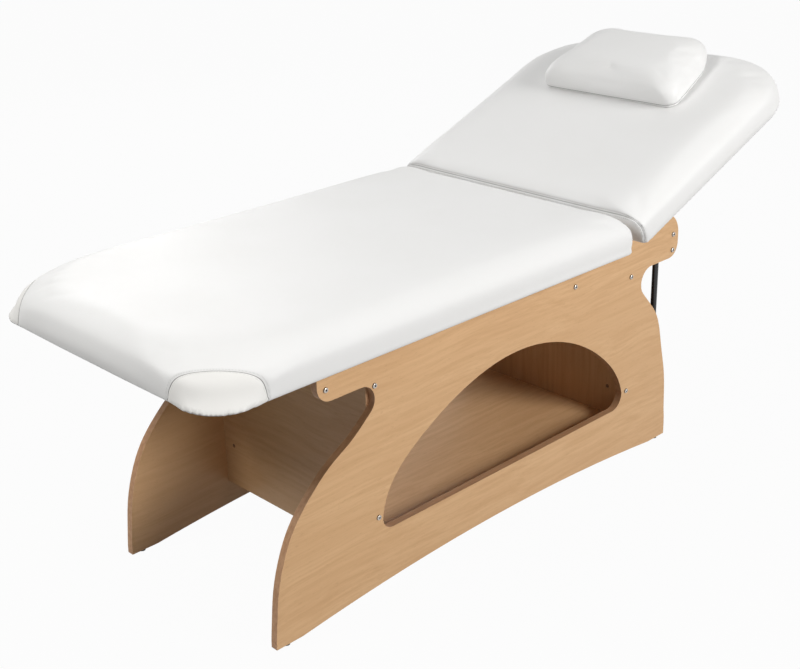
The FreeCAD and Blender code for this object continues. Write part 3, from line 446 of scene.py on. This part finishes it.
dress("panel_bolts", socket_chrome("bolt_chrome_painted_shade", PANEL_FACE))
zinc = bright_metal("zinced_steel", (0.62, 0.63, 0.65), 0.3, scratch=0.2)
for node in (
    "cleat_screws", "board_screws", "board_angles", "hinge_pin_near", "hinge_pin_far",
    "lying_hinge_leaf_near", "lying_hinge_leaf_far", "back_hinge_leaf_near", "back_hinge_leaf_far",
    "strut_stud_near", "strut_stud_far", "strut_bracket_near", "strut_bracket_far", "back_screws",
    "strut_pin_near", "strut_pin_far",
):
    dress(node, zinc)
dress("barrel_nuts", dark_paint("nut_brown", (0.2, 0.115, 0.06), 0.5))
strut_paint = dark_paint("strut_black_paint", (0.012, 0.012, 0.013), 0.26)
rod_plate = bright_metal("rod_hard_chrome", (0.7, 0.71, 0.73), 0.1)
for side in ("near", "far"):
    dress(f"strut_tube_{side}", strut_paint)
    dress(f"strut_rod_{side}", rod_plate)
dress("floor_glides", dark_paint("glide_plastic", (0.05, 0.042, 0.036), 0.42))
tape = napped_tape("napped_tape")
dress("pillow_loop_strip", tape)
dress("pillow_hook_strip", tape)


# Upholstery

def merged_copy(node):
    """A CAD solid as one closed shell, its loose triangles joined."""
    form = bmesh.new()
    form.from_mesh(frame["nodes"][node].data)
    bmesh.ops.remove_doubles(form, verts=form.verts, dist=1e-5)
    bmesh.ops.recalc_face_normals(form, faces=form.faces)
    return form


def new_piece(name, form):
    """A shown object at the origin with the form as its mesh."""
    mesh = bpy.data.meshes.new(name)
    form.to_mesh(mesh)
    form.free()
    piece = bpy.data.objects.new(name, mesh)
    scene.collection.objects.link(piece)
    return piece


def applied(piece):
    """Puts what the piece's modifiers give into its own mesh."""
    bpy.context.view_layer.update()
    graph = bpy.context.evaluated_depsgraph_get()
    shaped = bpy.data.meshes.new_from_object(piece.evaluated_get(graph))
    piece.modifiers.clear()
    piece.data = shaped


def even_mesh(piece, voxel):
    """Turns the shell into an even net of small faces."""
    net = piece.modifiers.new("net", "REMESH")
    net.mode = "VOXEL"
    net.voxel_size = voxel
    net.use_smooth_shade = True
    applied(piece)


def swell(piece, stapled):
    """Cloth under pressure, held where it is stapled, so that the cover stretches over its foam."""
    starts = [v.co.copy() for v in piece.data.vertices]
    group = piece.vertex_groups.new(name="stapled")
    group.add([i for i, start in enumerate(starts) if stapled(start)], 1.0, "REPLACE")
    cloth = piece.modifiers.new("cover", "CLOTH")
    cover = cloth.settings
    cover.quality = 4
    cover.mass = 0.4
    cover.tension_stiffness = 25
    cover.compression_stiffness = 25
    cover.shear_stiffness = 15
    cover.bending_stiffness = 8
    cover.use_pressure = True
    cover.uniform_pressure_force = FOAM_PRESSURE
    cover.vertex_group_mass = "stapled"
    cover.effector_weights.gravity = 0
    for step in range(1, CLOTH_FRAMES + 1):
        scene.frame_set(step)
    applied(piece)
    scene.frame_set(1)
    piece.vertex_groups.clear()
    for vertex, start in zip(piece.data.vertices, starts):
        move = vertex.co - start
        if move.length > SWELL_CAP:
            vertex.co = start + move * (SWELL_CAP / move.length)


def ease(piece, stapled, rounds):
    """Draws the cover taut: its small creases go, its soft swell stays."""
    form = bmesh.new()
    form.from_mesh(piece.data)
    loose = [v for v in form.verts if not stapled(v.co)]
    axes = {"use_axis_x": True, "use_axis_y": True, "use_axis_z": True}
    for _ in range(rounds):
        bmesh.ops.smooth_vert(form, verts=loose, factor=0.5, **axes)
    form.to_mesh(piece.data)
    form.free()


def flat_back(point):
    """A point of the back as it would lie with the back let down flat."""
    along, up = point.x - HINGE.x, point.z - HINGE.z
    cos, sin = math.cos(BACK_ANGLE), math.sin(BACK_ANGLE)
    x = HINGE.x + along * cos + up * sin
    z = HINGE.z - along * sin + up * cos
    return Vector((x, point.y, z))


def sew(form, seam, held, reach=0.007, depth=0.0014, puff=0.0):
    """Draws a cover in along a seam, with rows of edges beside it, and fills out its far side."""
    low = min(v.co.z for v in form.verts)
    band = 4 * reach
    for share in (-1, -0.5, 0, 0.5, 1):
        spot = seam.facing * (seam.offset + reach * share)
        near = [
            f for f in form.faces
            if abs(f.calc_center_median().dot(seam.facing) - seam.offset) < band
        ]
        rim = list({e for f in near for e in f.edges}) + list({v for f in near for v in f.verts})
        bmesh.ops.bisect_plane(
            form, geom=near + rim, dist=1e-5, plane_co=spot, plane_no=seam.facing,
        )
    form.normal_update()
    for vertex in form.verts:
        side = vertex.co.dot(seam.facing) - seam.offset
        if abs(side) < reach and not held(vertex.co):
            vertex.co -= vertex.normal * depth * (1 - abs(side) / reach) ** 2
        if puff and side > 0:
            share = min(side / PUFF_RUN, 1)
            share = share * share * (3 - 2 * share)
            sag = max(0, 1 - (vertex.co.z - low) / SAG_HEIGHT)
            vertex.co += (seam.facing + Vector((0, 0, -SAG_SHARE)) * sag) * puff * share


def fill_pillow(form):
    """Fills the pillow out: a crown on its top, and a little more width towards its foot edge."""
    spots = [
        (v, (v.co - HINGE).dot(BACK_ALONG), v.co.dot(BACK_UP) - pillow_base)
        for v in form.verts
    ]
    first, last = min(s[1] for s in spots), max(s[1] for s in spots)
    half = max(abs(v.co.y) for v in form.verts)
    for vertex, along, up in spots:
        share = (along - first) / (last - first)
        crown = max(0, 1 - (2 * share - 1) ** 2) * max(0, 1 - (vertex.co.y / half) ** 2)
        vertex.co += BACK_UP * PILLOW_CROWN * crown * min(up / CROWN_HEIGHT, 1)
        vertex.co.y *= 1 + PILLOW_SPREAD * (1 - share)


def upholster(
    name, node, body, cover, seams, voxel, stapled, smooth, taut,
    puffs=(0.0, 0.0), shape=None,
):
    """A cushion that starts a little inside its CAD solid and swells out to it.

    stapled tells whether a point is held to the board; smooth and taut are rounds of easing
    before and after the cloth; puffs say how far each seam's far side is filled out; shape
    changes the form before it is sewn.
    """
    form = merged_copy(node)
    for vertex in form.verts:
        if not stapled(vertex.co):
            vertex.co -= vertex.normal * SHRINK
    piece = new_piece(name, form)
    even_mesh(piece, voxel)
    ease(piece, stapled, smooth)
    swell(piece, stapled)
    ease(piece, stapled, taut)
    form = bmesh.new()
    form.from_mesh(piece.data)
    if shape:
        shape(form)
    for seam, puff in zip(seams, puffs):
        sew(form, seam, stapled, puff=puff)
    for face in form.faces:
        face.smooth = True
    form.to_mesh(piece.data)
    form.free()
    piece.data.materials.append(leatherette(cover, seams))
    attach(piece, body)
    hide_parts(node)


# Seams: a round panel at each foot corner, a welt at the back's hinge end, the pillow's rim.
BACK_ALONG = Vector((math.cos(BACK_ANGLE), 0, math.sin(BACK_ANGLE)))
BACK_UP = Vector((-math.sin(BACK_ANGLE), 0, math.cos(BACK_ANGLE)))
CORNER_PANEL = 0.0995
CORNER_LEAN = 0.2
HINGE_WELT = 0.011
PILLOW_RIM = 0.007
pad_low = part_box("lying_pad")[0]
PAD_BOTTOM = pad_low.z
corner_offset = -pad_low.x - pad_low.y - CORNER_PANEL * math.sqrt(2) + CORNER_LEAN * PAD_BOTTOM
corner_offset /= math.sqrt(2 + CORNER_LEAN ** 2)
corner_seams = [
    Seam((-1, -1, CORNER_LEAN), corner_offset, (0.7, -0.7, 0.6), 0.55, 0.35),
    Seam((-1, 1, CORNER_LEAN), corner_offset, (0.7, 0.7, 0.6), 0.55, 0.35),
]
back_near = min(v.co.dot(BACK_ALONG) for v in frame["nodes"]["back_pad"].data.vertices)
hinge_seam = Seam(-BACK_ALONG, -(back_near + HINGE_WELT), (0.15, 1, 0.6), 0.0, 0.8, 0.6)
pillow_base = min(v.co.dot(BACK_UP) for v in frame["nodes"]["pillow"].data.vertices)
rim_seam = Seam(-BACK_UP, -(pillow_base + PILLOW_RIM), (1, 0.9, 0.3), 0.0, 0.0)

upholster(
    "lying_cushion", "lying_pad", body="base", cover="lying_cover",
    seams=corner_seams, voxel=PAD_VOXEL, stapled=lambda p: p.z < PAD_BOTTOM + PAD_HELD,
    smooth=2, taut=12, puffs=(0.011, 0.003),
)
upholster(
    "back_cushion", "back_pad", body="back", cover="back_cover",
    seams=[hinge_seam], voxel=PAD_VOXEL,
    stapled=lambda p: flat_back(p).z < PAD_BOTTOM + PAD_HELD, smooth=2, taut=12,
)
upholster(
    "head_pillow", "pillow", body="pillow", cover="pillow_cover",
    seams=[rim_seam], voxel=PILLOW_VOXEL,
    stapled=lambda p: p.dot(BACK_UP) < pillow_base + PILLOW_HELD, smooth=1, taut=4,
    shape=fill_pillow,
)


# Studio

def area_lamp(name, place, aim, size, watts, colour=(1, 1, 1)):
    """A rectangular lamp that stands at place and shines at aim."""
    lamp = bpy.data.lights.new(name, "AREA")
    lamp.shape = "RECTANGLE"
    lamp.size, lamp.size_y = size
    lamp.energy = watts
    lamp.color = colour
    holder = bpy.data.objects.new(name, lamp)
    holder.location = place
    holder.rotation_euler = (Vector(aim) - Vector(place)).to_track_quat("-Z", "Y").to_euler()
    scene.collection.objects.link(holder)


area_lamp("key", (0.95, -5.2, 2.8), (0, 0, 0.5), (2.4, 1.8), 264, (1.0, 0.993, 0.985))
area_lamp("overhead", (0.3, 0.4, 4.6), (0, 0, 0.5), (4.0, 3.0), 38)
area_lamp("foot_fill", (-3.4, 0.9, 3.5), (-0.8, 0, 0.7), (1.4, 1.2), 112, (1.0, 0.99, 0.975))
area_lamp("back_fill", (1.8, 4.6, 2.2), (0.2, 0, 0.5), (2.0, 1.6), 42)


def direct_rays(nodes, links):
    """A socket that is 1 for the rays of the camera, of mirrors and of glass."""
    path = nodes.new("ShaderNodeLightPath")
    socket = path.outputs["Is Camera Ray"]
    for kind in ("Is Glossy Ray", "Is Transmission Ray"):
        most = nodes.new("ShaderNodeMath")
        most.operation = "MAXIMUM"
        links.new(socket, most.inputs[0])
        links.new(path.outputs[kind], most.inputs[1])
        socket = most.outputs[0]
    return socket


def white_world():
    """An even surround that the camera, metal and glass see as white."""
    world = bpy.data.worlds.new("surround")
    world.use_nodes = True
    scene.world = world
    nodes, links = world.node_tree.nodes, world.node_tree.links
    ambient = nodes["Background"]
    ambient.inputs["Color"].default_value = (1, 1, 1, 1)
    ambient.inputs["Strength"].default_value = 0.05
    seen = nodes.new("ShaderNodeBackground")
    seen.inputs["Color"].default_value = (1, 1, 1, 1)
    seen.inputs["Strength"].default_value = 1.0
    mix = nodes.new("ShaderNodeMixShader")
    links.new(direct_rays(nodes, links), mix.inputs[0])
    links.new(ambient.outputs[0], mix.inputs[1])
    links.new(seen.outputs[0], mix.inputs[2])
    links.new(mix.outputs[0], nodes["World Output"].inputs["Surface"])


def white_floor():
    """A pale studio floor that stays white to the camera and keeps the bed's shadow."""
    form = bmesh.new()
    bmesh.ops.create_grid(form, x_segments=1, y_segments=1, size=30)
    floor = new_piece("studio_floor", form)
    finish = Finish(
        "studio_floor", Base_Color=(0.31, 0.31, 0.31, 1), Roughness=0.9, Specular_IOR_Level=0.1,
    )
    glow = finish.nodes.new("ShaderNodeEmission")
    glow.inputs["Color"].default_value = (1, 1, 1, 1)
    direct = Value(finish, direct_rays(finish.nodes, finish.links))
    mix = finish.nodes.new("ShaderNodeMixShader")
    finish.links.new((direct * FLOOR_GLOW).socket, mix.inputs[0])
    finish.links.new(finish.surface.outputs[0], mix.inputs[1])
    finish.links.new(glow.outputs[0], mix.inputs[2])
    finish.links.new(mix.outputs[0], finish.nodes["Material Output"].inputs["Surface"])
    floor.data.materials.append(finish.material)


white_world()
white_floor()
